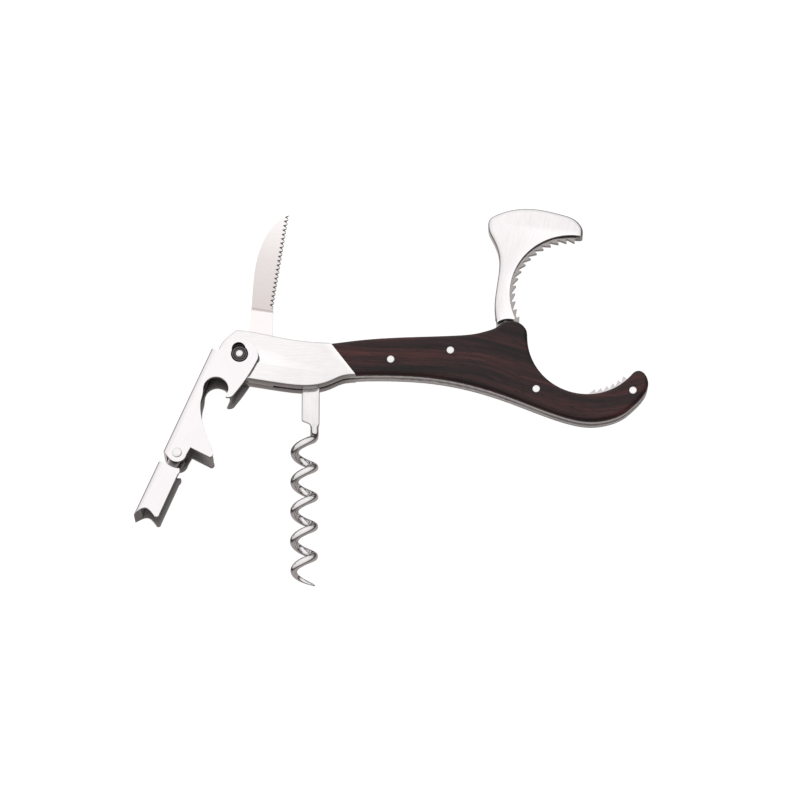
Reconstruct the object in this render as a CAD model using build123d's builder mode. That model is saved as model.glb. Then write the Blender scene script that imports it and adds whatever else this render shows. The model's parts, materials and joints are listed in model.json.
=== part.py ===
from build123d import *
import os
from math import cos, sin, radians

os.makedirs("parts", exist_ok=True)

# Waiter's corkscrew with a champagne-cork gripper, lying flat with every tool open.
# +X runs along the handle towards its hooked tail, +Z is the thickness, and all pivots are parallel to Z.
# The outlines are drawn round the lever's axle, which stands at (axle_x, axle_y) in the part's frame.

# ---------- place of the axle, so that the part's origin is the centre of its base ----------
axle_x = -40.09
axle_y = 10.03

# ---------- thicknesses, from the middle plane outwards ----------
core_half = 0.9          # half the gap between the two frames
liner_face = 2.35        # outer face of the liner plates
handle_half = 4.1        # outer face of the bolsters and scales
lever_inner = 4.65       # inner face of the lever's side plates
lever_half = 5.85        # outer face of the lever's side plates, the face it rests on
step_half = 5.6          # outer face of the second stage
step_inner = 4.5         # inner face of the second stage
tab_inner = 3.4          # inner face of the second stage's hinge tabs
tab_outer = 4.55         # outer face of the hinge tabs, just inside the first stage
jaw_half = 2.6           # outer face of the champagne jaw's shell
jaw_inner = 1.8          # inner face of the shell
plate_half = 0.75        # half thickness of the toothed plate and of the worm's shank
blade_half = 0.7         # half thickness of the foil blade

# ---------- pivots ----------
blade_pivot = (5.6, 1.8)
worm_pivot = (18.65, -4.7)
jaw_pivot = (70.7, 5.45)
step_pivot = (-16.1, -26.9)
scale_pin_places = [(39.7, -1.0), (55.4, 1.5), (77.9, -9.1), (103.3, -9.5)]
pin_radius = 1.0
pin_proud = 0.25         # how far the scale pins stand out of the wood
pin_round = 0.3
blind_pin_half = 2.85    # half the length of the pins hidden under the bolsters
axle_radius = 1.05
axle_proud = 0.6         # height of the axle's dome over the lever
axle_round = 0.5
ring_radius = 2.2
ring_proud = 0.1
ring_chamfer = 0.2
ring_flange_radius = 3.3 # the rings' flange between lever and bolster
fit_gap = 0.02           # pins in the pieces they hold
running_gap = 0.05       # pivots that turn

# ---------- handle ----------
joint_top = (23.8, 3.6)          # the slanted joint between bolster and scale
joint_foot = (30.5, -5.2)
nose_end = -20.0                 # beyond the nose and beyond the tail
tail_end = 130.0
nose_radius = 5.85
hump_radius = 5.0                # from the jaw's pivot to the start of the bite
jaw_room = 6.2                   # room between the frames for the jaw's root to turn
bar_joint = 62.0                 # where the two bars between the frames meet
bar_gap = 0.1
bite_centre = (91.3, 5.45)
bite_radius = 15.6
scale_round = 1.5
bolster_round = 0.5
tail_tooth_count = 6
tail_tooth_pitch = 6.8           # degrees
tail_tooth_start = -82.0
tail_tooth_tip = 14.25
slot_start = 8.7                 # the worm's slot in the underside
slot_end = 33.3

# ---------- lever ----------
web_angle = 246.2                # direction of the folded back, from the axle down
web_outer = 7.45
web_inner = 6.3
bend_outer = 1.7
bend_inner = 0.6
first_web = (1.3, 32.0)          # start and end of the first stage's back
second_web = (35.0, 50.6)
lobe_radius = 2.5
tab_radius = 1.7
tab_foot = ((36.9, 4.9), (36.9, 2.8))  # the tabs' lower corners: down the back, out from the axle
rivet_radius = 0.9
rivet_head_radius = 1.3
rivet_head_height = 0.45
rivet_head_round = 0.4
ear_centre = (0.26, -0.5)
ear_radius = 4.6
axle_slot_centre = (-0.25, 1.35) # the axle's hole is a little long towards the blade
axle_slot_radius = 1.8
opener_centre = (-6.15, -9.6)
opener_radius = 3.3

# ---------- worm ----------
wire_radius = 1.1
helix_radius = 2.6
helix_axis_x = 17.1
helix_top = -21.4
helix_pitch = 8.0
helix_turns = 5
tip_turns = 0.75
point_radius = 0.12
shank_half = 2.35
neck_radius = 0.9        # where the shank runs into the wire
neck_length = 2.8

# ---------- foil blade ----------
edge_start = (8.6, 14.4)
blade_tip = (12.6, 40.1)
serration_count = 21
serration_depth = 0.45
blade_tang_radius = 3.6
blade_room = 4.1         # room between the frames for the tang to turn
grind_width = 5.7        # from the edge back to the spine
edge_half = 0.1

# ---------- champagne jaw ----------
jaw_centre = (87.5, 17.4)
jaw_edge_radius = 16.4
jaw_root_radius = 5.15
jaw_sheet = 0.8
jaw_round = 1.4          # along the back and the end of the shell
tooth_gullet = 15.9
tooth_tip = 14.85
tooth_count = 15
tooth_pitch = 8.28               # degrees
tooth_start = 86.0
plate_root = 17.6        # back of the toothed strip, inside the shell
tang_radius = 3.8


def level(height):
    """The plane at this height from the middle of the thickness, with its origin on the axle."""
    return Plane(origin=(axle_x, axle_y, lever_half + height))


def lever_level(height):
    """The same plane turned so that its x runs down the lever's folded back."""
    direction = (cos(radians(web_angle)), sin(radians(web_angle)), 0)
    return Plane(origin=(axle_x, axle_y, lever_half + height), x_dir=direction, z_dir=(0, 0, 1))


def polar(centre, radius, angle):
    """A point at this radius and angle in degrees round a centre."""
    return (centre[0] + radius * cos(radians(angle)), centre[1] + radius * sin(radians(angle)))


def on_web(along, across):
    """A point given by its distance down the folded back and its distance out from the axle."""
    foot = polar((0, 0), along, web_angle)
    return polar(foot, across, web_angle - 90)


def handle_face():
    """Adds the whole outline of the handle, from the nose to the hooked tail, to the open sketch."""
    nose_corner = (-1.0, 7.1)
    nose_side = polar((0, 0), nose_radius, 163)
    nose_foot = polar((0, 0), nose_radius, 262)
    bite_start = polar(jaw_pivot, hump_radius, 0)
    hump_foot = (64.6, 7.02)
    top_end = (63.6, 6.74)
    bite_end = polar(bite_centre, bite_radius, -40)
    tail_foot = (102.3, -14.5)
    with BuildLine() as outline:
        Spline(nose_corner, (-3.75, 4.7), nose_side, tangents=((-0.75, -0.66), polar((0, 0), 1, 253)))
        ThreePointArc(nose_side, polar((0, 0), nose_radius, 212), nose_foot)
        Spline(nose_foot, (5.9, -6.85), (12.0, -7.8), (19.3, -8.15), (23.8, -7.0), (27.2, -5.55),
               joint_foot, tangents=(polar((0, 0), 1, 352), (1, 0.05)))
        Spline(joint_foot, (40.0, -5.1), (50.0, -5.75), (60.0, -7.6), (70.0, -10.75), (79.0, -14.3),
               (86.0, -16.75), (92.0, -17.8), (97.3, -17.1), tail_foot, tangents=((1, 0.05), (0.75, 0.66)))
        Spline(tail_foot, (106.1, -10.6), (107.4, -6.9), (105.2, -3.8), bite_end,
               tangents=((0.75, 0.66), polar((0, 0), 1, -130)))
        ThreePointArc(bite_end, polar(bite_centre, bite_radius, -100), bite_start)
        Spline(bite_start, (75.35, 7.6), (74.1, 9.05), (72.0, 9.85), (70.1, 9.75), (68.75, 9.1), (67.5, 8.1),
               (66.2, 7.5), hump_foot, tangents=((0, 1), (-1, -0.28)), tangent_scalars=(1.5, 1.5))
        Line(hump_foot, top_end)
        Spline(top_end, (56.4, 5.85), (42.4, 5.35), (31.7, 4.6), joint_top,
               tangents=((-1, -0.28), (-1, -0.12)))
        Spline(joint_top, (15.0, 4.3), (8.1, 5.6), nose_corner, tangents=((-1, 0.03), (-1, 0.06)))
    make_face(outline.edges())


def joint_side(far_x):
    """Keeps only the part of the open sketch between the slanted joint and this x."""
    slope_x = joint_foot[0] - joint_top[0]
    slope_y = joint_foot[1] - joint_top[1]
    above = (joint_top[0] - 2 * slope_x, joint_top[1] - 2 * slope_y)
    below = (joint_foot[0] + 2 * slope_x, joint_foot[1] + 2 * slope_y)
    with BuildLine() as outline:
        Polyline(above, below, (far_x, below[1]), (far_x, above[1]), close=True)
    make_face(outline.edges(), mode=Mode.INTERSECT)


def round_holes(places, radius, low, high):
    """Cuts round holes between two levels of the open part."""
    with BuildSketch(level(low)) as holes:
        with Locations(*places):
            Circle(radius)
    extrude(holes.sketch, amount=high - low, mode=Mode.SUBTRACT)


def save(piece, name):
    piece.part.label = name
    export_step(piece.part, f"parts/{name}.step")


# ---------- frames: liner plate and bolster in one piece of steel ----------
with BuildPart() as near_frame:
    with BuildSketch(level(core_half)):
        handle_face()
        for tooth in range(tail_tooth_count):
            tip_angle = tail_tooth_start + tooth * tail_tooth_pitch
            with BuildLine():
                Polyline(
                    polar(bite_centre, tail_tooth_tip, tip_angle),
                    polar(bite_centre, bite_radius + 0.4, tip_angle + 1.5),
                    polar(bite_centre, bite_radius + 0.4, tip_angle - tail_tooth_pitch),
                    polar(bite_centre, bite_radius - 0.3, tip_angle - tail_tooth_pitch + 0.8),
                    close=True,
                )
            make_face()
    extrude(amount=liner_face - core_half)
    with BuildSketch(level(core_half)):
        handle_face()
        joint_side(nose_end)
    extrude(amount=handle_half - core_half)
    # the halves meet in the nose, ahead of the worm's slot and round the blade's tang
    with BuildSketch(level(0)):
        handle_face()
        with Locations((slot_start - 10, 0)):
            Rectangle(20, 30, mode=Mode.INTERSECT)
        with Locations(blade_pivot):
            Circle(blade_room, mode=Mode.SUBTRACT)
            Rectangle(2 * blade_room, 12, align=(Align.CENTER, Align.MIN), mode=Mode.SUBTRACT)
    extrude(amount=core_half)
    bolster_face = near_frame.faces().filter_by(Axis.Z).sort_by(Axis.Z)[-1]
    bolster_edges = bolster_face.edges()
    joint_edge = bolster_edges.sort_by(Axis.X)[-1]
    fillet([edge for edge in bolster_edges if edge != joint_edge], bolster_round)
    round_holes([(0, 0)], axle_radius + running_gap, 0, handle_half)
    round_holes([blade_pivot, worm_pivot], pin_radius + fit_gap, 0, blind_pin_half + running_gap)
    round_holes([jaw_pivot], pin_radius + fit_gap, 0, liner_face)
    round_holes(scale_pin_places, pin_radius + fit_gap, 0, liner_face)
save(near_frame, "near_frame")

with BuildPart() as far_frame:
    mirror(near_frame.part, about=level(0))
save(far_frame, "far_frame")

# ---------- scales ----------
with BuildPart() as near_scale:
    with BuildSketch(level(liner_face)):
        handle_face()
        joint_side(tail_end)
    extrude(amount=handle_half - liner_face)
    outer_edges = near_scale.faces().sort_by(Axis.Z)[-1].edges()
    joint_edge = outer_edges.sort_by(Axis.X)[0]
    fillet([edge for edge in outer_edges if edge != joint_edge], scale_round)
    round_holes(scale_pin_places, pin_radius + fit_gap, liner_face, handle_half)
save(near_scale, "near_scale")

with BuildPart() as far_scale:
    mirror(near_scale.part, about=level(0))
save(far_scale, "far_scale")

# ---------- bars between the frames ----------
with BuildPart() as backspring:
    with BuildSketch(level(-core_half)):
        handle_face()
        with BuildLine():
            Polyline((9.8, -0.9), (17.0, 0.3), (46.5, 0.3), (46.5, 12), (bar_joint, 12), (bar_joint, -14),
                     (slot_end, -14), (slot_end, -1.9), (9.8, -1.9), close=True)
        make_face(mode=Mode.INTERSECT)
    extrude(amount=2 * core_half)
    round_holes(scale_pin_places[:2], pin_radius + fit_gap, -core_half, core_half)
save(backspring, "backspring")

with BuildPart() as tail_spacer:
    with BuildSketch(level(-core_half)):
        handle_face()
        with Locations((bar_joint + bar_gap, 0)):
            Rectangle(60, 60, align=(Align.MIN, Align.CENTER), mode=Mode.INTERSECT)
        with Locations(jaw_pivot):
            Circle(jaw_room, mode=Mode.SUBTRACT)
    extrude(amount=2 * core_half)
    round_holes(scale_pin_places[2:], pin_radius + fit_gap, -core_half, core_half)
save(tail_spacer, "tail_spacer")

# ---------- pins of the handle ----------
with BuildPart() as scale_pins:
    with BuildSketch(level(-handle_half - pin_proud)):
        with Locations(*scale_pin_places):
            Circle(pin_radius)
    extrude(amount=2 * (handle_half + pin_proud))
    fillet(scale_pins.edges().filter_by(GeomType.CIRCLE), pin_round)
save(scale_pins, "scale_pins")

with BuildPart() as blade_pin:
    with BuildSketch(level(-blind_pin_half)):
        with Locations(blade_pivot):
            Circle(pin_radius)
    extrude(amount=2 * blind_pin_half)
save(blade_pin, "blade_pin")

with BuildPart() as worm_pin:
    with BuildSketch(level(-blind_pin_half)):
        with Locations(worm_pivot):
            Circle(pin_radius)
    extrude(amount=2 * blind_pin_half)
save(worm_pin, "worm_pin")

with BuildPart() as jaw_pin:
    with BuildSketch(level(-liner_face)):
        with Locations(jaw_pivot):
            Circle(pin_radius)
    extrude(amount=2 * liner_face)
save(jaw_pin, "jaw_pin")

# ---------- lever axle: a domed pin and a ring on each side ----------
with BuildPart() as lever_axle:
    with BuildSketch(level(-lever_half)):
        Circle(axle_radius)
    extrude(amount=2 * lever_half + axle_proud)
    fillet(lever_axle.faces().sort_by(Axis.Z)[-1].edges(), axle_round)
save(lever_axle, "lever_axle")

with BuildPart() as axle_rings:
    ring_height = lever_half - handle_half - running_gap
    flange_height = lever_inner - handle_half - 2 * running_gap
    with BuildSketch(level(handle_half + running_gap)):
        Circle(ring_radius)
    extrude(amount=ring_height + ring_proud)
    chamfer(axle_rings.faces().sort_by(Axis.Z)[-1].edges(), ring_chamfer)
    with BuildSketch(level(-lever_half)):
        Circle(ring_radius)
    extrude(amount=ring_height)
    for flange_low in (handle_half + running_gap, running_gap - lever_inner):
        with BuildSketch(level(flange_low)):
            Circle(ring_flange_radius)
        extrude(amount=flange_height)
    round_holes([(0, 0)], axle_radius + fit_gap, -lever_half, lever_half + ring_proud)
save(axle_rings, "axle_rings")

# ---------- lever, first stage: folded channel with the bottle opener and the first step ----------
with BuildPart() as lever_first_stage:
    with BuildSketch(level(-lever_half)):
        ear_start = polar(ear_centre, ear_radius, 135)
        ear_end = polar(ear_centre, ear_radius, -10)
        claw_start = (-1.3, -10.9)
        claw_end = (-3.6, -11.75)
        cut_start = polar(opener_centre, opener_radius, -7)
        cut_end = polar(opener_centre, opener_radius, 180)
        foot_side = (-6.9, -26.7)
        notch_corner = (-12.6, -25.5)
        lobe_start = polar(step_pivot, lobe_radius, -12)
        lobe_end = polar(step_pivot, lobe_radius, 215)
        with BuildLine():
            Polyline(on_web(first_web[0], web_outer), (-5.9, 0.8), ear_start)
            ThreePointArc(ear_start, polar(ear_centre, ear_radius, 60), ear_end)
            ThreePointArc(ear_end, (2.35, -5.8), claw_start)
            ThreePointArc(claw_start, (-2.5, -11.85), claw_end)
            Line(claw_end, cut_start)
            ThreePointArc(cut_start, polar(opener_centre, opener_radius, 90), cut_end)
            Spline(cut_end, (-10.05, -13.0), (-10.0, -16.2), (-9.2, -20.0), (-7.7, -24.0), foot_side,
                   tangents=((0, -1), (0, -1)))
            ThreePointArc(foot_side, (-6.85, -27.8), (-7.6, -28.1))
            Polyline((-7.6, -28.1), notch_corner, lobe_start)
            ThreePointArc(lobe_start, polar(step_pivot, lobe_radius, -80), lobe_end)
            Polyline(lobe_end, on_web(first_web[1], web_outer), on_web(first_web[0], web_outer))
        make_face()
    extrude(amount=2 * lever_half)
    web_edges = lever_first_stage.edges().filter_by(GeomType.LINE).filter_by(
        lambda edge: abs(edge.length - (first_web[1] - first_web[0])) < 0.01)
    fillet(web_edges, bend_outer)
    with BuildSketch(lever_level(-lever_inner)):
        with Locations((20, -web_inner)):
            Rectangle(80, 40, align=(Align.CENTER, Align.MIN))
    extrude(amount=2 * lever_inner, mode=Mode.SUBTRACT)
    inner_edges = lever_first_stage.edges().filter_by(GeomType.LINE).filter_by(
        lambda edge: abs(edge.length - (first_web[1] - first_web[0])) < 1.5
        and abs(abs(edge.center().Z - lever_half) - lever_inner) < 0.01)
    fillet(inner_edges, bend_inner)
    round_holes([(0, 0)], ring_radius + running_gap, -lever_half, lever_half)
    round_holes([axle_slot_centre], axle_slot_radius, -lever_half, lever_half)
    round_holes([step_pivot], rivet_radius + fit_gap, -lever_half, lever_half)
save(lever_first_stage, "lever_first_stage")

with BuildPart() as step_rivets:
    with BuildSketch(level(tab_inner - 0.1)):
        with Locations(step_pivot):
            Circle(rivet_radius)
    extrude(amount=lever_half - tab_inner + 0.2)
    with BuildSketch(level(lever_half)):
        with Locations(step_pivot):
            Circle(rivet_head_radius)
    extrude(amount=rivet_head_height)
    fillet(step_rivets.faces().sort_by(Axis.Z)[-1].edges(), rivet_head_round)
    with BuildSketch(level(-lever_half)):
        with Locations(step_pivot):
            Circle(rivet_radius)
    extrude(amount=lever_half - tab_inner + 0.1)
save(step_rivets, "step_rivets")

# ---------- lever, second stage: folded channel with a swallow-tail end ----------
with BuildPart() as lever_second_stage:
    with BuildSketch(level(-step_half)):
        with BuildLine():
            Polyline(on_web(second_web[0], web_outer), on_web(second_web[1], web_outer))
            Spline(on_web(second_web[1], web_outer), (-26.0, -42.35), (-24.0, -41.75), (-22.7, -42.7),
                   (-21.7, -44.0))
            ThreePointArc((-21.7, -44.0), (-21.0, -44.1), (-20.5, -43.4))
            Line((-20.5, -43.4), (-15.9, -32.8))
            ThreePointArc((-15.9, -32.8), (-15.35, -31.8), (-15.5, -31.05))
            Spline((-15.5, -31.05), (-17.9, -30.4), (-19.7, -29.35), on_web(second_web[0], web_outer))
        make_face()
    extrude(amount=2 * step_half)
    web_edges = lever_second_stage.edges().filter_by(GeomType.LINE).filter_by(
        lambda edge: abs(edge.length - (second_web[1] - second_web[0])) < 0.01)
    fillet(web_edges, bend_outer)
    with BuildSketch(lever_level(-step_inner)):
        with Locations((40, -web_inner)):
            Rectangle(60, 40, align=(Align.CENTER, Align.MIN))
    extrude(amount=2 * step_inner, mode=Mode.SUBTRACT)
    for tab_low in (tab_inner, -tab_outer):
        with BuildSketch(level(tab_low)):
            with Locations(step_pivot):
                Circle(tab_radius)
            with BuildLine():
                Polyline(polar(step_pivot, tab_radius, 156), polar(step_pivot, tab_radius, -24),
                         on_web(*tab_foot[1]), on_web(*tab_foot[0]), close=True)
            make_face()
        extrude(amount=tab_outer - tab_inner)
    round_holes([step_pivot], rivet_radius + running_gap, -lever_half, lever_half)
save(lever_second_stage, "lever_second_stage")

# ---------- foil blade ----------
edge_vector = Vector(blade_tip[0] - edge_start[0], blade_tip[1] - edge_start[1], 0)
edge_direction = edge_vector.normalized()
edge_side = Vector(edge_direction.Y, -edge_direction.X, 0)
with BuildPart() as foil_blade:
    with BuildSketch(level(-blade_half)):
        with BuildLine():
            Line(blade_tip, edge_start)
            Polyline(edge_start, (8.6, 12.9), (8.45, 6.6), polar(blade_pivot, blade_tang_radius, 20))
            ThreePointArc(polar(blade_pivot, blade_tang_radius, 20), polar(blade_pivot, blade_tang_radius, -90),
                          polar(blade_pivot, blade_tang_radius, 170))
            Spline(polar(blade_pivot, blade_tang_radius, 170), (2.5, 8.0), (3.1, 17.7), (4.3, 28.0), (6.3, 33.6),
                   (9.5, 38.1), blade_tip)
        make_face()
        for notch in range(serration_count):
            notch_middle = edge_vector * ((notch + 0.5) / serration_count)
            notch_half = edge_direction * (0.42 * edge_vector.length / serration_count)
            middle = Vector(*edge_start, 0) + notch_middle
            low = middle - notch_half + edge_side * 0.1
            high = middle + notch_half + edge_side * 0.1
            deep = middle - edge_side * serration_depth
            with BuildLine():
                Polyline((low.X, low.Y), (high.X, high.Y), (deep.X, deep.Y), close=True)
            make_face(mode=Mode.SUBTRACT)
    extrude(amount=2 * blade_half)
    # the two ground faces slope from the spine to the edge
    ground_start = Vector(axle_x + edge_start[0], axle_y + edge_start[1], lever_half) - edge_direction
    for side in (1, -1):
        with BuildSketch(Plane(origin=ground_start, x_dir=edge_side, z_dir=edge_direction)):
            with BuildLine():
                Polyline((-grind_width, side * blade_half), (0.2, side * edge_half), (1, side * edge_half),
                         (1, side * 2), (-grind_width, side * 2), close=True)
            make_face()
        extrude(amount=40, mode=Mode.SUBTRACT)
    round_holes([blade_pivot], pin_radius + running_gap, -core_half, core_half)
save(foil_blade, "foil_blade")

# ---------- worm: flat shank, one wire, helix and a tapered point ----------
helix_plane = Plane(
    origin=(axle_x + helix_axis_x, axle_y + helix_top, lever_half), x_dir=(1, 0, 0), z_dir=(0, -1, 0))
wire_x = helix_axis_x + helix_radius
body_drop = helix_pitch * (helix_turns - tip_turns)
tip_drop = helix_pitch * tip_turns
tip_plane = Plane(
    origin=helix_plane.origin + helix_plane.z_dir * body_drop, x_dir=(0, 0, 1), z_dir=(0, -1, 0))
with BuildLine() as body_line:
    Helix(helix_pitch, body_drop, helix_radius)
with BuildLine() as tip_line:
    Helix(helix_pitch, tip_drop, helix_radius)
body_path = helix_plane * body_line.line
tip_path = tip_plane * tip_line.line
with BuildPart() as worm:
    with BuildSketch(level(-plate_half)):
        with Locations(worm_pivot):
            Circle(shank_half)
        with BuildLine():
            Polyline((worm_pivot[0] - shank_half, worm_pivot[1]), (worm_pivot[0] + shank_half, worm_pivot[1]),
                     (worm_pivot[0] + shank_half, -17.6), (wire_x + 0.85, -20.6), (wire_x - 0.85, -20.6),
                     (18.45, -18.7), (worm_pivot[0] - shank_half, -17.0), close=True)
        make_face()
    extrude(amount=2 * plate_half)
    wire_plane = Plane(
        origin=(axle_x + wire_x, axle_y + helix_top + neck_length, lever_half), x_dir=(1, 0, 0),
        z_dir=(0, -1, 0))
    with BuildSketch(wire_plane):
        Circle(neck_radius)
    extrude(amount=neck_length)
    with Locations((axle_x + wire_x, axle_y + helix_top, lever_half)):
        Sphere(wire_radius)
    with BuildSketch(Plane(origin=body_path @ 0, z_dir=body_path % 0)):
        Circle(wire_radius)
    sweep(path=body_path, is_frenet=True)
    with BuildSketch(Plane(origin=tip_path @ 0, z_dir=tip_path % 0)):
        Circle(wire_radius)
    with BuildSketch(Plane(origin=tip_path @ 1, z_dir=tip_path % 1)):
        Circle(point_radius)
    sweep(path=tip_path, is_frenet=True, multisection=True)
    round_holes([worm_pivot], pin_radius + running_gap, -core_half, core_half)
save(worm, "worm")


# ---------- champagne jaw: folded shell round a toothed plate ----------
def jaw_face(inset):
    """Adds the jaw's outline, moved in by this much from its back and its end, to the open sketch."""
    back_places = [polar(jaw_pivot, jaw_root_radius, 128), (67.2, 15.5), (68.35, 24.0), (68.3, 28.8),
                   (66.6, 33.3), (65.6, 37.0)]
    back_inward = [0, 0, 0, 15, 15, 0]
    head_places = [(65.6, 37.0), (67.5, 39.6), (71.5, 41.0), (76.0, 41.45), (80.6, 40.95), (85.0, 39.85),
                   (89.0, 38.1), (90.6, 35.8), polar(jaw_centre, jaw_edge_radius, 79)]
    head_inward = [0, -50, -80, -90, -100, -108, -130, 185, 180]
    back = [polar(place, inset, angle) for place, angle in zip(back_places, back_inward)]
    head = [polar(place, inset, angle) for place, angle in zip(head_places, head_inward)]
    edge_root = polar(jaw_centre, jaw_edge_radius, 203.5)
    root_inner = polar(jaw_pivot, jaw_root_radius, 71)
    with BuildLine() as outline:
        Spline(*back, tangents=((-0.1, 1), (0, 1)), tangent_scalars=(1.5, 1.5))
        Spline(*head, tangents=((0, 1), (-0.1, -1)), tangent_scalars=(1.5, 1.5))
        ThreePointArc(head[-1], polar(jaw_centre, jaw_edge_radius, 140), edge_root)
        Line(edge_root, root_inner)
        ThreePointArc(root_inner, polar(jaw_pivot, jaw_root_radius, 100), back[0])
    make_face(outline.edges())


with BuildPart() as jaw_shell:
    with BuildSketch(level(-jaw_half)):
        jaw_face(0)
    extrude(amount=2 * jaw_half)
    outer_edges = jaw_shell.edges().filter_by(GeomType.BSPLINE).filter_by(
        lambda edge: abs(abs(edge.center().Z - lever_half) - jaw_half) < 0.01)
    fillet(outer_edges, jaw_round)
    with BuildSketch(level(-jaw_inner)):
        jaw_face(jaw_sheet)
        with Locations(jaw_pivot):
            Circle(jaw_root_radius + 1.4)
        with BuildSketch(mode=Mode.PRIVATE) as open_side:
            with Locations(jaw_centre):
                Circle(jaw_edge_radius + 1.0)
            with Locations((89.6, 20)):
                Rectangle(60, 60, align=(Align.MAX, Align.CENTER), mode=Mode.INTERSECT)
        add(open_side.sketch)
    extrude(amount=2 * jaw_inner, mode=Mode.SUBTRACT)
save(jaw_shell, "jaw_shell")

with BuildPart() as jaw_teeth:
    with BuildSketch(level(-plate_half)):
        jaw_face(jaw_sheet)
        with Locations(jaw_pivot):
            Circle(tang_radius)
        with BuildLine():
            Polyline(polar(jaw_pivot, tang_radius, 165), polar(jaw_pivot, tang_radius, 30), (72.6, 13.0),
                     (68.4, 13.0), close=True)
        make_face()
        first_angle = tooth_start - 1
        last_angle = tooth_start + tooth_pitch * tooth_count
        with BuildLine():
            ThreePointArc(polar(jaw_centre, tooth_gullet, first_angle), polar(jaw_centre, tooth_gullet, 140),
                          polar(jaw_centre, tooth_gullet, last_angle))
            Line(polar(jaw_centre, tooth_gullet, last_angle), polar(jaw_centre, plate_root, last_angle))
            ThreePointArc(polar(jaw_centre, plate_root, last_angle), polar(jaw_centre, plate_root, 140),
                          polar(jaw_centre, plate_root, first_angle))
            Line(polar(jaw_centre, plate_root, first_angle), polar(jaw_centre, tooth_gullet, first_angle))
        make_face()
        for tooth in range(tooth_count):
            tip_angle = tooth_start + tooth * tooth_pitch
            with BuildLine():
                Polyline(polar(jaw_centre, tooth_tip, tip_angle),
                         polar(jaw_centre, tooth_gullet + 0.3, tip_angle + 0.5),
                         polar(jaw_centre, tooth_gullet + 0.3, tip_angle + tooth_pitch),
                         polar(jaw_centre, tooth_gullet - 0.1, tip_angle + tooth_pitch - 1.5), close=True)
            make_face()
    extrude(amount=2 * plate_half)
    round_holes([jaw_pivot], pin_radius + running_gap, -core_half, core_half)
save(jaw_teeth, "jaw_teeth")
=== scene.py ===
import bmesh
import bpy
import json
from collections import namedtuple
from math import cos, pi, radians, sin
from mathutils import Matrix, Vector


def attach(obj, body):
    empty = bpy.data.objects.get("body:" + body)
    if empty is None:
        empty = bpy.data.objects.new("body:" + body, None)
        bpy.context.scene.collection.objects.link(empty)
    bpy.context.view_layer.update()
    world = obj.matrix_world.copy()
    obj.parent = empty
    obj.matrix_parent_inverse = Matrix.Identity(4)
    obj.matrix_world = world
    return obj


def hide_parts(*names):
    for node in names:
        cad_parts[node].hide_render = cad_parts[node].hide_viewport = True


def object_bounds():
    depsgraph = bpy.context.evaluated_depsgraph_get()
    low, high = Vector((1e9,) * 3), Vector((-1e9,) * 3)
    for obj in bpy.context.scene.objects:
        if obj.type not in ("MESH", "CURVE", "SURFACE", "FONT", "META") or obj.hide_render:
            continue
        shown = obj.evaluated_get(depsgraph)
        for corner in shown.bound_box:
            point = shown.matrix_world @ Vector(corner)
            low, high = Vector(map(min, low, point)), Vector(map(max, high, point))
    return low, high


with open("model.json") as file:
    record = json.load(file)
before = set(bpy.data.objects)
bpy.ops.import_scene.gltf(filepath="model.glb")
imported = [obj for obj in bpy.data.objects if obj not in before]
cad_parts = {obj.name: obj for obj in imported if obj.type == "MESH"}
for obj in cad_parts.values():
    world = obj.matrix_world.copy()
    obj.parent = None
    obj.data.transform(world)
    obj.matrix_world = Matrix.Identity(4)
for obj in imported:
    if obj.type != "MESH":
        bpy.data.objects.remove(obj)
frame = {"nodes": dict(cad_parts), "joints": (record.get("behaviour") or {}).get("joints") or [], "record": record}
cad_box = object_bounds()

MM = 0.001
record = frame["record"]
joint_at = {joint["name"]: Vector(joint["pos_m"]) for joint in frame["joints"]}
mount_at = {mount["name"]: Vector(mount["pos_m"]) for mount in record["mounts"]}
axle_at = joint_at["lever_stow"]
middle_height = axle_at.z
slot_of = {part["node"]: part["material_slot"] for part in record["subparts"]}
body_of = {node: body for body, members in record["behaviour"]["bodies"].items() for node in members}


def from_axle(x, y, z=0.0):
    """The place, in metres, of a point given in mm from the middle of the lever's axle."""
    return axle_at + Vector((x, y, z)) * MM


def blend(first, second, share):
    """Goes from the first value to the second as the share goes from 0 to 1."""
    return first + (second - first) * share


def ease(share):
    """Goes smoothly from 0 to 1 as the share does."""
    share = min(max(share, 0.0), 1.0)
    return share * share * (3 - 2 * share)


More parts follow.
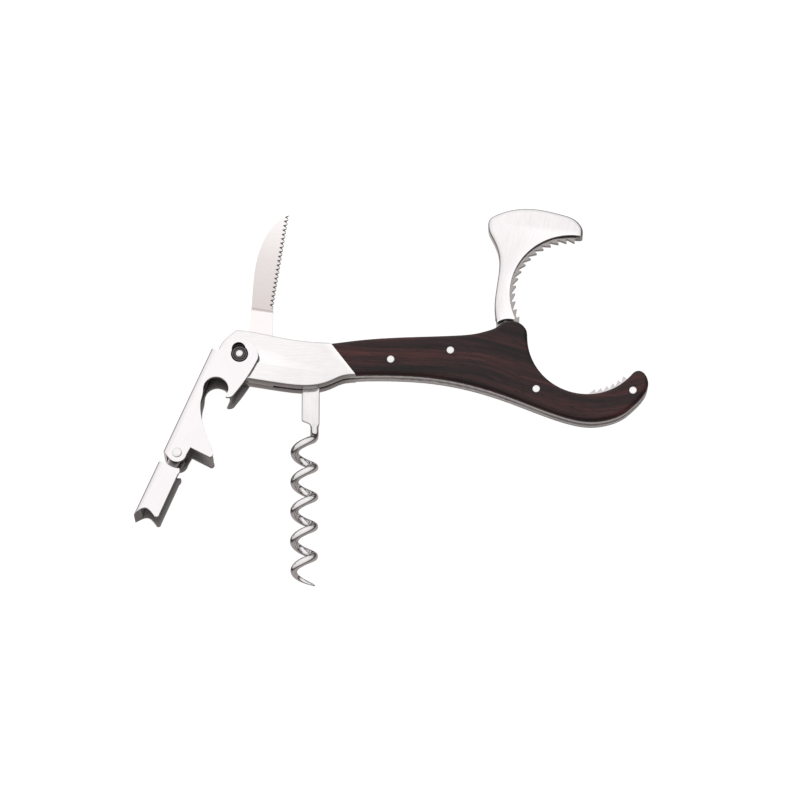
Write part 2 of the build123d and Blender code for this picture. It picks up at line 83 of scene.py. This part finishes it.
# ---------- node helpers ----------
class Nodes:
    """Adds nodes to one tree. A value can be a number, a vector or the output of another node."""

    def __init__(self, tree):
        self.tree = tree

    def add(self, kind, **values):
        node = self.tree.nodes.new(kind)
        for key, value in values.items():
            setattr(node, key, value)
        return node

    def link(self, output, socket):
        self.tree.links.new(output, socket)

    def feed(self, socket, value):
        """Links an output to a socket, or sets the socket to a number, a vector or a colour."""
        if isinstance(value, bpy.types.NodeSocket):
            self.link(value, socket)
        else:
            socket.default_value = value

    def math(self, operation, *values):
        node = self.add("ShaderNodeMath", operation=operation)
        for socket, value in zip(node.inputs, values):
            self.feed(socket, value)
        return node.outputs["Value"]

    def vector_math(self, operation, *values):
        """Gives a number for LENGTH and DOT_PRODUCT, and a vector for the rest."""
        node = self.add("ShaderNodeVectorMath", operation=operation)
        for socket, value in zip(node.inputs, values):
            self.feed(socket, value)
        return node.outputs["Value" if operation in ("LENGTH", "DOT_PRODUCT") else "Vector"]

    def split(self, vector):
        """The outputs X, Y and Z of a vector."""
        node = self.add("ShaderNodeSeparateXYZ")
        self.link(vector, node.inputs[0])
        return node.outputs

    def position(self, scale=(1, 1, 1), turn=0.0, origin=(0, 0, 0)):
        """Object coordinates less the origin, turned about Z and scaled."""
        coordinates = self.add("ShaderNodeTexCoord")
        mapping = self.add("ShaderNodeMapping")
        mapping.inputs["Rotation"].default_value = (0, 0, turn)
        shifted = self.vector_math("SUBTRACT", coordinates.outputs["Object"], origin)
        self.link(shifted, mapping.inputs["Vector"])
        return self.vector_math("MULTIPLY", mapping.outputs["Vector"], scale)

    def radius(self, centre):
        """Distance from the upright line through a centre."""
        return self.vector_math("LENGTH", self.position(scale=(1, 1, 0), origin=centre))

    def noise(self, where, scale, detail=3.0, roughness=0.5, distortion=0.0):
        node = self.add("ShaderNodeTexNoise")
        node.inputs["Scale"].default_value = scale
        node.inputs["Detail"].default_value = detail
        node.inputs["Roughness"].default_value = roughness
        node.inputs["Distortion"].default_value = distortion
        self.link(where, node.inputs["Vector"])
        return node.outputs["Fac"]

    def ramp(self, value, stops):
        """A colour ramp; each stop is (place, colour)."""
        node = self.add("ShaderNodeValToRGB")
        elements = node.color_ramp.elements
        while len(elements) < len(stops):
            elements.new(0.5)
        for element, (place, colour) in zip(elements, stops):
            element.position = place
            element.color = (*colour, 1)
        self.link(value, node.inputs["Fac"])
        return node.outputs["Color"]

    def spread(self, value, low, high, low_in=0.3, high_in=0.7):
        """Maps a value from one range to another, clamped. Most of a noise lies in the default range."""
        node = self.add("ShaderNodeMapRange")
        node.inputs["From Min"].default_value = low_in
        node.inputs["From Max"].default_value = high_in
        node.inputs["To Min"].default_value = low
        node.inputs["To Max"].default_value = high
        self.link(value, node.inputs["Value"])
        return node.outputs["Result"]

    def mix(self, factor, first, second, blend_type="MIX"):
        """Mixes two colours. A mix node keeps its colours in the sockets 6 and 7, and its result in 2."""
        node = self.add("ShaderNodeMix", data_type="RGBA", blend_type=blend_type)
        self.feed(node.inputs[0], factor)
        for socket, colour in ((node.inputs[6], first), (node.inputs[7], second)):
            self.feed(socket, (*colour, 1) if isinstance(colour, tuple) else colour)
        return node.outputs[2]

    def sides_and_insides(self, inside, folded=(0, 0, 0)):
        """1 on upright faces and on those less than the height inside from the middle, 0 on the others.

        Faces turned the folded way, round the outside of a bend, are 0 as well.
        """
        fade = 0.2 * MM
        normal = self.add("ShaderNodeNewGeometry").outputs["Normal"]
        upright = self.spread(self.math("ABSOLUTE", self.split(normal)["Z"]), 1, 0, 0.25, 0.75)
        height = self.split(self.position(origin=(0, 0, middle_height)))["Z"]
        between = self.spread(self.math("ABSOLUTE", height), 1, 0, inside, inside + fade)
        bare = self.spread(self.vector_math("DOT_PRODUCT", normal, folded), 1, 0, 0.05, 0.3)
        return self.math("MULTIPLY", self.math("MAXIMUM", upright, between), bare)


class Surface(Nodes):
    """The nodes of a new material, with its shader's sockets."""

    def __init__(self, name):
        self.material = bpy.data.materials.new(name)
        self.material.use_nodes = True
        super().__init__(self.material.node_tree)
        self.shader = self.tree.nodes["Principled BSDF"].inputs

    def bump(self, height, strength, distance):
        node = self.add("ShaderNodeBump")
        node.inputs["Strength"].default_value = strength
        node.inputs["Distance"].default_value = distance
        self.link(height, node.inputs["Height"])
        self.link(node.outputs["Normal"], self.shader["Normal"])


# ---------- materials ----------
# Which way the brushing runs, which way the outside of a bend faces, and how far from the middle height
# the insides reach, where painted shade goes.
lever_turn = radians(246.2)
blade_turn = radians(81.2)
worm_turn = pi / 2
jaw_turn = 1.3
lever_fold = (cos(lever_turn - pi / 2), sin(lever_turn - pi / 2), 0)
jaw_fold = (-0.8, 0.6, 0)
frame_inside = 0.95 * MM
lever_inside = 4.8 * MM
jaw_inside = 1.9 * MM


def shaded(colour, share):
    """A colour made darker or lighter."""
    return tuple(min(1, part * share) for part in colour)


def steel(name, light, dark, rough, brush_turn=0.0, brush=0.25, pits=0.0, cut_and_shade=0.0, inside=0.0,
          folded=(0, 0, 0), painted_shading=None):
    """Bare steel: brushing along one direction, wiping marks, a few pits and brighter rubbed edges.

    Cut sides are duller, and darker partly as painted shade; the insides between the plates get painted shade.
    Both go by the share given. A painted shade or reflection, when given, multiplies the colour.
    """
    grain = 900.0
    line_shade = 0.62
    rubbed_light = 1.12
    cut_and_shade_colour = (0.068, 0.058, 0.055)
    cut_rough = 0.38
    least_rough = 0.04
    surface = Surface(name)
    plain = surface.position()
    along = surface.position(scale=(0.06, 1, 1), turn=-brush_turn)
    aslant = surface.position(scale=(0.1, 1, 0.6), turn=-brush_turn - 0.5)
    lines = surface.noise(along, grain * 4, detail=6, roughness=0.65)
    marks = surface.noise(aslant, grain, detail=4, roughness=0.7)
    clouds = surface.noise(plain, 55.0, detail=5, roughness=0.6, distortion=0.4)
    rubbed = surface.add("ShaderNodeAttribute", attribute_name="rubbed").outputs["Fac"]
    # Painted shade: a mask of the cut sides and of the insides between the plates.
    cut_and_painted_shade = surface.math("MULTIPLY", surface.sides_and_insides(inside, folded), cut_and_shade)

    tone = surface.mix(surface.spread(clouds, 0, 1), dark, light)
    tone = surface.mix(surface.spread(lines, 0.0, 0.22, 0.4, 0.75), tone, shaded(dark, line_shade))
    tone = surface.mix(surface.math("MULTIPLY", rubbed, 0.6), tone, shaded(light, rubbed_light))
    tone = surface.mix(cut_and_painted_shade, tone, cut_and_shade_colour)
    if painted_shading:
        tone = surface.mix(1.0, tone, painted_shading(surface), blend_type="MULTIPLY")
    surface.link(tone, surface.shader["Base Color"])

    fine = surface.spread(lines, -0.05, 0.07)
    wiped = surface.spread(clouds, rough * 0.75, rough * 1.5)
    scratched = surface.spread(marks, 0.0, 0.12, 0.58, 0.72)
    total = surface.math("ADD", surface.math("ADD", wiped, fine), scratched)
    total = surface.math("SUBTRACT", total, surface.math("MULTIPLY", rubbed, rough * 0.4))
    total = surface.math("ADD", total, surface.math("MULTIPLY", cut_and_painted_shade, cut_rough))
    surface.link(surface.math("MAXIMUM", total, least_rough), surface.shader["Roughness"])

    height = surface.math("ADD", surface.math("MULTIPLY", lines, 0.5), surface.math("MULTIPLY", marks, 0.5))
    if pits:
        holes = surface.spread(surface.noise(plain, 2200, detail=2), 0, pits, 0.62, 0.8)
        height = surface.math("SUBTRACT", height, holes)
    surface.bump(height, brush, 0.03 * MM)
    surface.shader["Metallic"].default_value = 1.0
    return surface.material


def frame_painted_shade(surface):
    """Paints shade on the bolster's sides and insides and on the stamped teeth, which stand inside the round of
    the tail's bite.
    """
    bite_centre = mount_at["champagne_grip"]
    plain = (1.0, 1.0, 1.0)
    teeth_painted_shade = (0.62, 0.59, 0.59)
    sides_painted_shade = (0.40, 0.365, 0.355)
    teeth_inside = 15.3 * MM
    teeth_fade = 0.3 * MM
    bolster_end = 27 * MM
    bolster_fade = 5 * MM
    # Painted shade on the teeth and on the bolster's sides and insides.
    inside = surface.spread(surface.radius(bite_centre), 1, 0, teeth_inside, teeth_inside + teeth_fade)
    teeth = surface.mix(inside, plain, teeth_painted_shade)
    along = surface.split(surface.position(origin=axle_at))["X"]
    bolster = surface.spread(along, 1, 0, bolster_end, bolster_end + bolster_fade)
    sides = surface.math("MULTIPLY", surface.sides_and_insides(frame_inside), bolster)
    return surface.mix(sides, teeth, sides_painted_shade)


def blade_painted_reflection(surface):
    """Painted reflection and shade on the ground face: dark plunge line, lighter to the tip, dark between the
    teeth.
    """
    edge_start = from_axle(8.6, 14.4)
    edge_length = 26.0 * MM
    teeth = 21
    gullet_middle = 0.65 * MM
    gullet_wave = 0.5 * MM
    gullet_fade = 0.2 * MM
    tang = (0.93, 0.91, 0.90)
    plunge_line = (0.48, 0.45, 0.43)
    ground_start = (0.68, 0.64, 0.62)
    ground_middle = (0.76, 0.73, 0.715)
    ground_tip = (0.93, 0.915, 0.905)
    # Painted reflection of the hollow grind along the ground face, with a band of painted shade at the plunge
    # line.
    shares_of_edge = [(-0.07, tang), (-0.054, plunge_line), (-0.028, ground_start), (0.48, ground_middle),
                      (0.94, ground_tip)]
    place = surface.split(surface.position(turn=-blade_turn, origin=edge_start))
    along = surface.math("MULTIPLY", place["X"], 1 / edge_length)
    face = surface.ramp(surface.spread(along, 0, 1, -1, 1),
                        [(blend(0.5, 1, share), colour) for share, colour in shares_of_edge])
    wave = surface.math("COSINE", surface.math("MULTIPLY", along, 2 * pi * teeth))
    depth = surface.math("SUBTRACT", gullet_middle, surface.math("MULTIPLY", wave, gullet_wave))
    gullet = surface.spread(surface.math("SUBTRACT", depth, place["Y"]), 0, 1, 0.0, gullet_fade)
    past_start = surface.spread(along, 0, 1, -0.02, 0.0)
    # Painted shade, near black, between the teeth.
    return surface.mix(surface.math("MULTIPLY", gullet, past_start), face, (0.09, 0.085, 0.085))


def turned_steel(name, light, dark, rough, centre, pitch):
    """Dark steel with fine rings left by the lathe round a centre; its dark colours are partly painted shade."""
    surface = Surface(name)
    turns = surface.math("SINE", surface.math("MULTIPLY", surface.radius(centre), 2 * pi / pitch))
    rings = surface.spread(turns, 0, 1, 0.2, 1.0)
    clouds = surface.noise(surface.position(), 700, detail=4)
    tone = surface.mix(surface.math("MULTIPLY", rings, 0.55), dark, light)
    tone = surface.mix(surface.spread(clouds, 0, 0.35), tone, (0.02, 0.018, 0.018))
    surface.link(tone, surface.shader["Base Color"])
    surface.link(surface.spread(clouds, rough, rough * 1.6), surface.shader["Roughness"])
    surface.bump(surface.math("ADD", surface.math("MULTIPLY", rings, 0.6), clouds), 0.4, 0.06 * MM)
    surface.shader["Metallic"].default_value = 1.0
    return surface.material


def bent_grain(surface):
    """Coordinates that wander a little and swing with the handle's curve beyond its straight part."""
    curve_start = from_axle(48, 0)
    half_wave = 44 * MM
    swing_width = 5 * MM
    wander_width = 11 * MM
    wander = surface.noise(surface.position(scale=(0.5, 1, 1)), 30, detail=2)
    beyond = surface.math("MAXIMUM", surface.split(surface.position(origin=curve_start))["X"], 0.0)
    swing = surface.math("COSINE", surface.math("MULTIPLY", beyond, pi / half_wave))
    lean = surface.add("ShaderNodeCombineXYZ")
    surface.link(surface.math("SUBTRACT", surface.math("MULTIPLY", wander, wander_width),
                              surface.math("MULTIPLY", swing, swing_width)), lean.inputs["Y"])
    return surface.vector_math("ADD", surface.position(), lean.outputs["Vector"])


def rosewood(name):
    """Oiled rosewood: grain along the handle, near-black and reddish streaks, open pores."""
    near_black = (0.004, 0.003, 0.003)
    surface = Surface(name)
    bent = bent_grain(surface)
    along = surface.vector_math("MULTIPLY", bent, (0.055, 1.0, 0.7))
    pore_place = surface.vector_math("MULTIPLY", bent, (0.12, 1.0, 0.6))
    broad = surface.noise(along, 130, detail=2)
    bands = surface.noise(along, 420, detail=5, roughness=0.62)
    fine = surface.noise(along, 1900, detail=6, roughness=0.7)
    pores = surface.spread(surface.noise(pore_place, 4600, detail=2, roughness=0.4), 0, 1, 0.60, 0.70)

    streaks = surface.math("ADD", surface.math("MULTIPLY", bands, 0.62),
                           surface.math("MULTIPLY", broad, 0.38))
    colour = surface.ramp(streaks, [
        (0.34, near_black),
        (0.43, (0.010, 0.0055, 0.0055)),
        (0.50, (0.020, 0.0085, 0.0085)),
        (0.58, (0.038, 0.0125, 0.0120)),
        (0.68, (0.066, 0.0205, 0.0185))])
    colour = surface.mix(surface.spread(fine, 0.0, 0.7, 0.42, 0.68), colour, near_black)
    colour = surface.mix(surface.math("MULTIPLY", pores, 0.75), colour, near_black)
    surface.link(colour, surface.shader["Base Color"])

    satin = surface.spread(fine, 0.27, 0.42)
    rough = surface.math("ADD", satin, surface.math("MULTIPLY", pores, 0.2))
    surface.link(rough, surface.shader["Roughness"])
    fibres = surface.math("MULTIPLY", fine, 0.35)
    surface.bump(surface.math("SUBTRACT", fibres, surface.math("MULTIPLY", pores, 0.8)), 0.35, 0.06 * MM)
    surface.shader["Specular IOR Level"].default_value = 0.16
    return surface.material


# The cut share darkens cut sides partly as painted shade and paints shade on the insides between the plates.
materials = {
    "frame_steel": steel("frame_steel", (0.60, 0.59, 0.59), (0.53, 0.515, 0.515), 0.07, brush=0.04,
                         cut_and_shade=0.35, inside=frame_inside, painted_shading=frame_painted_shade),
    "spring_steel": steel("spring_steel", (0.17, 0.16, 0.155), (0.11, 0.10, 0.10), 0.38, brush=0.3),
    "pin_steel": steel("pin_steel", (0.61, 0.60, 0.60), (0.53, 0.52, 0.52), 0.07, brush=0.04),
    "lever_steel": steel("lever_steel", (0.55, 0.537, 0.54), (0.495, 0.48, 0.483), 0.10,
                         brush_turn=lever_turn, brush=0.06, pits=0.25, cut_and_shade=0.85, inside=lever_inside,
                         folded=lever_fold),
    "blade_steel": steel("blade_steel", (0.61, 0.60, 0.60), (0.56, 0.55, 0.548), 0.13,
                         brush_turn=blade_turn + pi / 2, brush=0.12, painted_shading=blade_painted_reflection),
    "worm_steel": steel("worm_steel", (0.60, 0.59, 0.59), (0.50, 0.49, 0.49), 0.09, brush_turn=worm_turn,
                        brush=0.05),
    "jaw_steel": steel("jaw_steel", (0.59, 0.577, 0.578), (0.54, 0.525, 0.527), 0.11, brush_turn=jaw_turn,
                       brush=0.06, pits=0.2, cut_and_shade=0.6, inside=jaw_inside, folded=jaw_fold),
    # The teeth plate's dark grey is painted shade, for the gap under the jaw shell.
    "teeth_steel": steel("teeth_steel", (0.25, 0.235, 0.23), (0.13, 0.12, 0.117), 0.28, brush=0.3),
    # Near black: partly the bush's own dark colour, partly painted shade on the washers seen down the lever's
    # hole.
    "ring_steel": turned_steel("ring_steel", (0.20, 0.19, 0.19), (0.025, 0.022, 0.022), 0.22, axle_at,
                               0.55 * MM),
    "rosewood": rosewood("rosewood"),
}


# ---------- meshes and pieces ----------
merge_distance = 1e-7


def skin(work, rings):
    """Joins a row of rings of vertices into one skin, with a face across each end."""
    for lower, upper in zip(rings, rings[1:]):
        for side in range(len(lower)):
            after = (side + 1) % len(lower)
            work.faces.new((lower[side], lower[after], upper[after], upper[side]))
    work.faces.new(list(reversed(rings[0])))
    work.faces.new(rings[-1])


def show(work, name, node, limit):
    """Makes the work a smooth piece that stands for a CAD node. Edges over the limit stay sharp."""
    bmesh.ops.remove_doubles(work, verts=work.verts, dist=merge_distance)
    bmesh.ops.recalc_face_normals(work, faces=work.faces)
    mesh = bpy.data.meshes.new(name)
    work.to_mesh(mesh)
    work.free()
    mesh.shade_smooth()
    mesh.set_sharp_from_angle(angle=limit)
    slot = slot_of[node]
    mesh.materials.append(materials[slot])
    piece = bpy.data.objects.new(name, mesh)
    bpy.context.scene.collection.objects.link(piece)
    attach(piece, body_of[node])
    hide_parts(node)


# ---------- pieces from the frame, with their edges rounded ----------
def rounded(node, width):
    """A copy of a CAD node with its sharp edges rounded by this width, and marked as rubbed."""
    sharp_angle = radians(32)
    flat_angle = radians(0.4)
    floor_height = cad_box[0][2]
    work = bmesh.new()
    work.from_mesh(frame["nodes"][node].data)
    for layer in list(work.loops.layers.uv):
        work.loops.layers.uv.remove(layer)
    bmesh.ops.remove_doubles(work, verts=work.verts, dist=merge_distance)
    bmesh.ops.dissolve_limit(work, angle_limit=flat_angle, verts=work.verts, edges=work.edges)
    rubbed = work.verts.layers.float.new("rubbed")
    sharp = [edge for edge in work.edges
             if len(edge.link_faces) == 2 and edge.calc_face_angle() > sharp_angle]
    made = bmesh.ops.bevel(work, geom=sharp, offset=width, segments=2, profile=0.6, affect="EDGES",
                           clamp_overlap=False)
    for vert in made["verts"]:
        vert[rubbed] = 1.0
        vert.co.z = max(vert.co.z, floor_height)
    show(work, node + "_look", node, radians(28))


# How wide each piece's rounded edges are, in mm.
edge_round = {
    "near_frame": 0.06, "far_frame": 0.06, "near_scale": 0.05, "far_scale": 0.05, "backspring": 0.08,
    "tail_spacer": 0.08, "lever_first_stage": 0.12, "lever_second_stage": 0.12, "foil_blade": 0.04,
    "jaw_shell": 0.10, "jaw_teeth": 0.06, "axle_rings": 0.08,
}
for node, width in edge_round.items():
    rounded(node, width * MM)
# The pivots hidden inside the frames or under the scales keep their CAD meshes.
for node in ("blade_pin", "worm_pin", "jaw_pin"):
    piece = frame["nodes"][node]
    piece.data.materials.clear()
    piece.data.materials.append(materials[slot_of[node]])


# ---------- pins and rivets with domed heads ----------
def crown(radius, low, high):
    """A domed head's outline from its rim up to its top, as (radius, height) pairs of a quarter ellipse."""
    steps = 9
    turns = [pi / 2 * step / steps for step in range(steps + 1)]
    return [(radius * cos(turn), low + (high - low) * sin(turn)) for turn in turns]


def turned(name, node, places, outline):
    """Turns an outline of (radius, height) in mm, from the bottom up, round an upright axis at each place."""
    sides = 40
    turns = [2 * pi * side / sides for side in range(sides)]
    work = bmesh.new()
    for x, y in places:
        rings = []
        for radius, height in outline:
            rings.append([work.verts.new(from_axle(x + radius * cos(turn), y + radius * sin(turn), height))
                          for turn in turns])
        skin(work, rings)
    show(work, name, node, radians(40))


# Radii and heights in mm. Faces are this far from the middle, and each head's rim is hidden in its face or
# just clear of it.
lever_face = 5.85
handle_face = 4.1
rim = 0.02
scale_pin_places = [(39.7, -1.0), (55.4, 1.5), (77.9, -9.1), (103.3, -9.5)]
pin_top = crown(1.0, handle_face - rim, handle_face + 0.25)
pin_foot = [(radius, -height) for radius, height in reversed(pin_top)]
turned("scale_pins_look", "scale_pins", scale_pin_places, pin_foot + pin_top)

axle_radius = 1.05
turned("lever_axle_look", "lever_axle", [(0, 0)],
       [(axle_radius, -lever_face)] + crown(axle_radius, lever_face, lever_face + 0.6))

rivet_radius = 0.9
rivet_end = 3.3
rivet_head = crown(1.3, lever_face + rim, lever_face + 0.45)
rivet_place = ((joint_at["step_swing"] - axle_at) / MM).to_2d()
turned("near_rivet_look", "step_rivets", [rivet_place],
       [(rivet_radius, rivet_end), (rivet_radius, lever_face)] + rivet_head)
turned("far_rivet_look", "step_rivets", [rivet_place],
       [(rivet_radius, -lever_face), (rivet_radius, -rivet_end)])


# ---------- worm: one bar drawn out into a wire and wound ----------
# Sizes in mm, with heights along Y from the axle. A section is a superellipse, whose power is its
# squareness: 2 makes a circle, and 7 nearly a square. It lies across its facing, or else across the path.
Section = namedtuple("Section", "centre half thick squareness facing")
pivot = (joint_at["worm_fold"] - axle_at) / MM
bar_half = 2.35
bar_thick = 0.75
bar_squareness = 7
round_squareness = 2
wire = 1.1
coil = 2.6
pitch = 8.0
full_turns = 5
axis_x = 17.1
helix_top = -21.4
spacing = 0.25
helix_sideways = Vector((pitch, 2 * pi * coil)).normalized().y


def worm_lead():
    """The (angle, drop) of each section as the straight wire bends into the helix, up to where they meet."""
    length = 4.5
    lead = [(0.0, 0.0)]
    for count in range(int(length / spacing)):
        angle, drop = lead[-1]
        sideways = helix_sideways * ease(count * spacing / length)
        lead.append((angle + spacing * sideways / coil, drop + spacing * (1 - sideways ** 2) ** 0.5))
    return lead


def worm_shank(end):
    """Sections of the flat bar down to its end height, notched on the left and drawn out into the wire."""
    downwards = Vector((0, -1, 0))
    notch_top = -16.6
    notch_drop = 1.1
    shoulder = 0.25
    draw_top = notch_top - 0.8
    cap_length = 1.6
    bar_left = pivot.x - bar_half
    bar_right = pivot.x + bar_half
    bar_top = pivot.y + bar_half
    wire_x = axis_x + coil
    sections = []
    height = bar_top - 0.1
    while height > end:
        notched = ease((notch_top - height) / notch_drop)
        drawn = ease((draw_top - height) / (draw_top - end))
        left = blend(bar_left, wire_x - wire - shoulder, notched) + shoulder * drawn
        right = blend(bar_right, wire_x + wire, drawn)
        cap = min(1.0, (bar_top - height) / cap_length) ** 0.5
        centre = Vector(((left + right) / 2, height, 0))
        thick = blend(bar_thick, wire, drawn)
        squareness = blend(bar_squareness, round_squareness, drawn)
        sections.append(Section(centre, (right - left) / 2 * cap, thick, squareness, downwards))
        height -= spacing
    return sections


def worm_path():
    """Sections down the whole worm: the shank, the lead into the helix, and the helix to its point."""
    *bends, (angle, drop) = worm_lead()
    shank_end = helix_top + drop - angle * pitch / (2 * pi)
    sections = worm_shank(shank_end)
    for bend_angle, fall in bends:
        centre = Vector((axis_x + coil * cos(bend_angle), shank_end - fall, coil * sin(bend_angle)))
        sections.append(Section(centre, wire, wire, round_squareness, None))
    end_angle = 2 * pi * full_turns
    taper = 2 * pi * 0.7
    tip_share = 0.07
    tip_drift = 0.25
    while angle < end_angle:
        remaining = min(1.0, (end_angle - angle) / taper)
        size = wire * blend(tip_share, 1, remaining ** 0.75)
        radius = coil + tip_drift * (1 - remaining) ** 2
        centre = Vector((axis_x + radius * cos(angle), helix_top - angle * pitch / (2 * pi),
                         radius * sin(angle)))
        sections.append(Section(centre, size, size, round_squareness, None))
        angle += spacing * helix_sideways / coil
    return sections


def tube(name, node, sections):
    """A closed skin over a row of sections."""
    sides = 28
    turns = [2 * pi * (side + 0.5) / sides for side in range(sides)]
    work = bmesh.new()
    across = Vector((1, 0, 0))
    rings = []
    for index, section in enumerate(sections):
        ahead = sections[min(index + 1, len(sections) - 1)].centre
        behind = sections[max(index - 1, 0)].centre
        forward = section.facing or (ahead - behind).normalized()
        across = (across - forward * across.dot(forward)).normalized()
        up = across.cross(forward)
        power = section.squareness
        ring = []
        for turn in turns:
            reach = (abs(cos(turn)) ** power + abs(sin(turn)) ** power) ** (-1 / power)
            sideways = across * (section.half * cos(turn) * reach)
            upwards = up * (section.thick * sin(turn) * reach)
            ring.append(work.verts.new(from_axle(*(section.centre + sideways + upwards))))
        rings.append(ring)
    skin(work, rings)
    show(work, name, node, radians(50))


tube("worm_look", "worm", worm_path())


# ---------- stage, light and camera ----------
def stage():
    """An evenly glowing white floor, which the object neither mirrors nor is lit by."""
    mesh = bpy.data.meshes.new("floor")
    work = bmesh.new()
    bmesh.ops.create_grid(work, x_segments=1, y_segments=1, size=3.0)
    work.to_mesh(mesh)
    work.free()
    floor = bpy.data.objects.new("floor", mesh)
    floor.location.z = -0.02 * MM
    floor.visible_glossy = False
    floor.visible_diffuse = False
    bpy.context.scene.collection.objects.link(floor)
    paper = Surface("floor_paper")
    speckle = paper.noise(paper.position(), 40, detail=3)
    paper.link(paper.ramp(speckle, [(0.3, (0.10, 0.10, 0.10)), (0.7, (0.12, 0.12, 0.12))]),
               paper.shader["Base Color"])
    paper.shader["Roughness"].default_value = 0.9
    paper.shader["Specular IOR Level"].default_value = 0.0
    paper.shader["Emission Color"].default_value = (1, 1, 1, 1)
    paper.shader["Emission Strength"].default_value = 0.95
    mesh.materials.append(paper.material)


def surroundings():
    """A bright sky that leans to the back and the left, a dark band below it, and grey at the bottom."""
    world = bpy.data.worlds.new("studio")
    bpy.context.scene.world = world
    world.use_nodes = True
    nodes = Nodes(world.node_tree)
    direction = nodes.add("ShaderNodeTexCoord").outputs["Generated"]
    lean = nodes.vector_math("DOT_PRODUCT", direction, (-0.35, 0.5, 1.0))
    sky = nodes.ramp(nodes.spread(lean, 0, 1, -1, 1), [
        (0.20, (0.38, 0.35, 0.34)),
        (0.33, (0.06, 0.05, 0.048)),
        (0.44, (0.05, 0.042, 0.04)),
        (0.54, (0.60, 0.585, 0.58)),
        (0.70, (0.80, 0.79, 0.79)),
        (0.90, (0.98, 0.965, 0.97))])
    background = world.node_tree.nodes["Background"].inputs
    nodes.link(sky, background["Color"])
    background["Strength"].default_value = 1.6


def soft_box(name, place, size, power):
    """A large area light that looks at the middle of the object."""
    light = bpy.data.lights.new(name, "AREA")
    light.shape = "RECTANGLE"
    light.size, light.size_y = size
    light.energy = power
    lamp = bpy.data.objects.new(name, light)
    lamp.location = place
    lamp.rotation_euler = (-Vector(place)).to_track_quat("-Z", "Y").to_euler()
    bpy.context.scene.collection.objects.link(lamp)


def camera():
    """Looks down from 16 degrees off straight above, leaning towards -Y."""
    sensor_width = 36.0
    distance = 1.25
    elevation = radians(74)
    view_width = 210.53 * MM
    target = Vector((2.05 * MM, -0.96 * MM, middle_height))
    data = bpy.data.cameras.new("camera")
    data.sensor_width = sensor_width
    data.lens = sensor_width * distance / view_width
    data.clip_end = 20
    eye = bpy.data.objects.new("camera", data)
    away = Vector((0, -cos(elevation), sin(elevation)))
    eye.location = target + away * distance
    eye.rotation_euler = (-away).to_track_quat("-Z", "Y").to_euler()
    bpy.context.scene.collection.objects.link(eye)
    bpy.context.scene.camera = eye


stage()
surroundings()
soft_box("top_box", (0.1, 0.25, 0.9), (1.2, 0.9), 0.4)
camera()
bpy.context.scene.view_settings.view_transform = "Standard"
